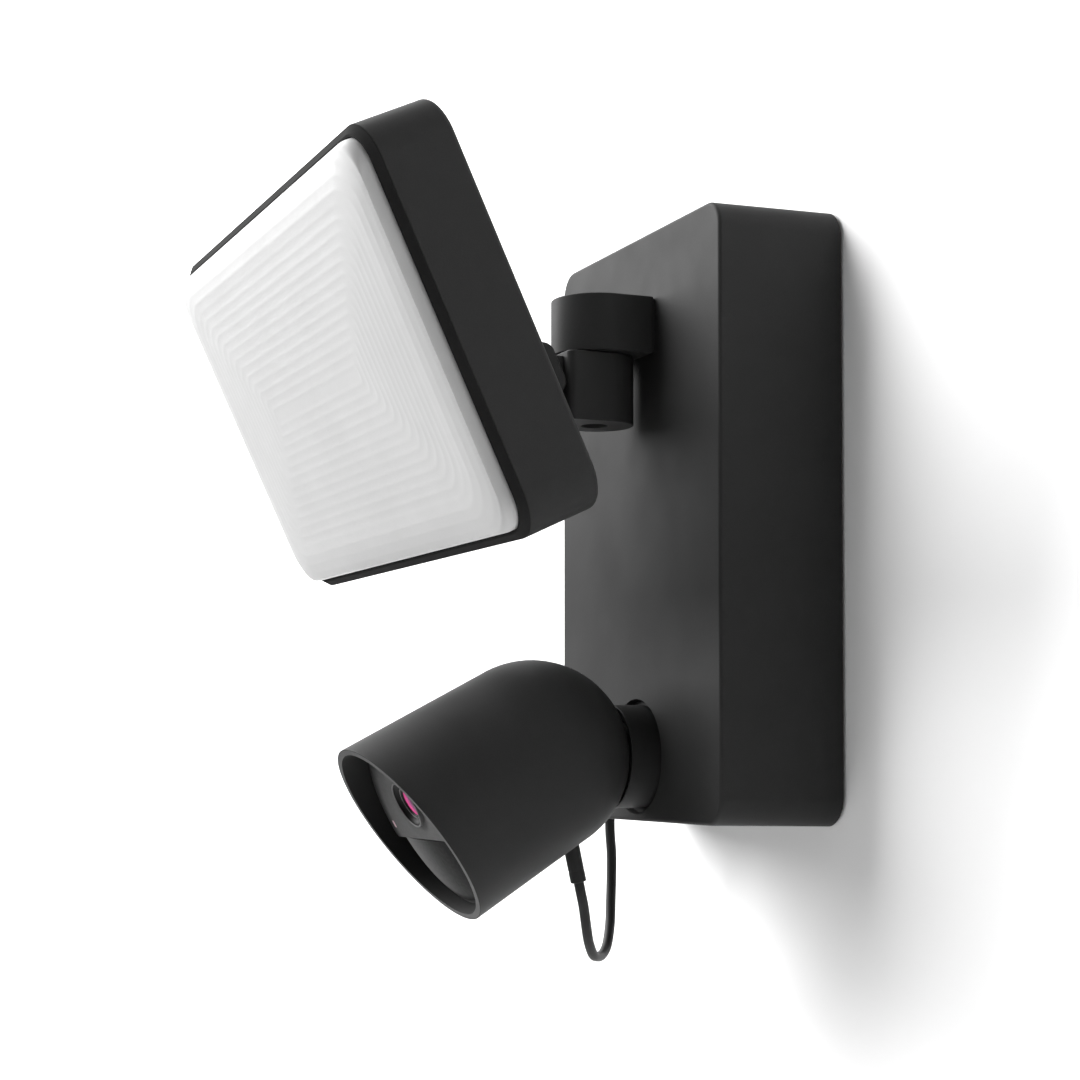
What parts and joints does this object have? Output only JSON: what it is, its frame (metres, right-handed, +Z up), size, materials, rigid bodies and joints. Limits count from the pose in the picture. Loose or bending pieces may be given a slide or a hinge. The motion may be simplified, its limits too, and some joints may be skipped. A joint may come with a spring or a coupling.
{
  "type": "floodlight security camera",
  "caption": "Wall-mounted floodlight with a swivelling, tilting rectangular LED head and a bullet camera held in a magnetic cup, joined to its housing by a short cable.",
  "frame": {"origin": "centre of the steel mounting plate's face on the wall", "axes": "+Y into the wall, -Y out of it towards the viewer, +Z up, +X to the right seen from the front"},
  "size_m": [0.259, 0.2274, 0.3225],
  "materials": {
    "black_plastic": "fine matte moulded grain",
    "black_metal": "black powder coat on a die casting",
    "camera_plastic": "smooth matte moulded plastic",
    "face_plastic": "satin black",
    "window_plastic": "satin infrared-clear black",
    "diffuser": "opal white, rippled",
    "black_rubber": "matte",
    "cable_jacket": "satin jacket",
    "plate_steel": "zinc plated",
    "screw_steel": "plated",
    "heat_sink_aluminium": "extruded",
    "board_green": "solder resist",
    "board_white": "white solder resist",
    "board_parts": "moulded components",
    "terminal": "white nylon",
    "led": "yellow phosphor",
    "reflector": "white reflective",
    "magnet": "nickel plated",
    "lens_black": "black",
    "lens_glass": "magenta coated",
    "status_light": "frosted light pipe"
  },
  "bodies": {
    "housing": {"wall_plate": "plate_steel", "wall_gasket": "black_rubber", "rear_cover": "black_plastic", "front_housing": "black_plastic", "housing_screws": "screw_steel", "power_board": "board_green", "board_parts": "board_parts", "terminal_block": "terminal", "board_screws": "screw_steel", "arm_gasket": "black_rubber", "arm_block": "black_metal", "arm_screws": "screw_steel", "swivel_bolt": "screw_steel", "swivel_washer": "screw_steel", "camera_cup": "black_plastic", "cup_pad": "black_rubber", "cup_magnet": "magnet", "cup_screws": "screw_steel", "cable_gland": "black_rubber", "cable_house_side": "cable_jacket"},
    "knuckle": {"swivel_knuckle": "black_metal"},
    "light_head": {"light_neck": "black_metal", "neck_screws": "screw_steel", "tilt_bolt": "screw_steel", "tilt_nut": "screw_steel", "tilt_washers": "screw_steel", "light_housing": "black_metal", "heat_sink": "heat_sink_aluminium", "led_board": "board_white", "leds": "led", "reflector": "reflector", "light_screws": "screw_steel", "diffuser_seal": "black_rubber", "light_diffuser": "diffuser", "light_bezel": "black_metal"},
    "camera_pan_carrier": {"magnet_armature": "plate_steel"},
    "camera": {"camera_shell": "camera_plastic", "camera_chassis": "black_plastic", "face_seal": "black_rubber", "face_plate": "face_plastic", "sensor_window": "window_plastic", "lens_ring": "lens_black", "lens_barrel": "lens_black", "lens_glass": "lens_glass", "status_light": "status_light", "camera_board": "board_green", "image_sensor": "lens_black", "motion_sensor": "screw_steel", "chassis_screws": "screw_steel", "camera_socket": "black_plastic", "cable_plug": "cable_jacket", "cable_camera_side": "cable_jacket"}
  },
  "joints": [
    {"name": "arm_swivel", "type": "hinge", "parent": "housing", "child": "knuckle", "pos_m": [0, -0.0744, 0.0725], "axis": [0, 0, 1], "range_deg": [-35, 35]},
    {"name": "head_tilt", "type": "hinge", "parent": "knuckle", "child": "light_head", "pos_m": [0, -0.11, 0.0604], "axis": [1, 0, 0], "range_deg": [-35, 18]},
    {"name": "camera_pan", "type": "hinge", "parent": "housing", "child": "camera_pan_carrier", "pos_m": [0, -0.1048, -0.0981], "axis": [0, 0, 1], "range_deg": [-30, 30], "deforming": ["cable_house_side"]},
    {"name": "camera_tilt", "type": "hinge", "parent": "camera_pan_carrier", "child": "camera", "pos_m": [0, -0.1048, -0.0981], "axis": [1, 0, 0], "range_deg": [-30, 20], "deforming": ["cable_camera_side"]}
  ]
}
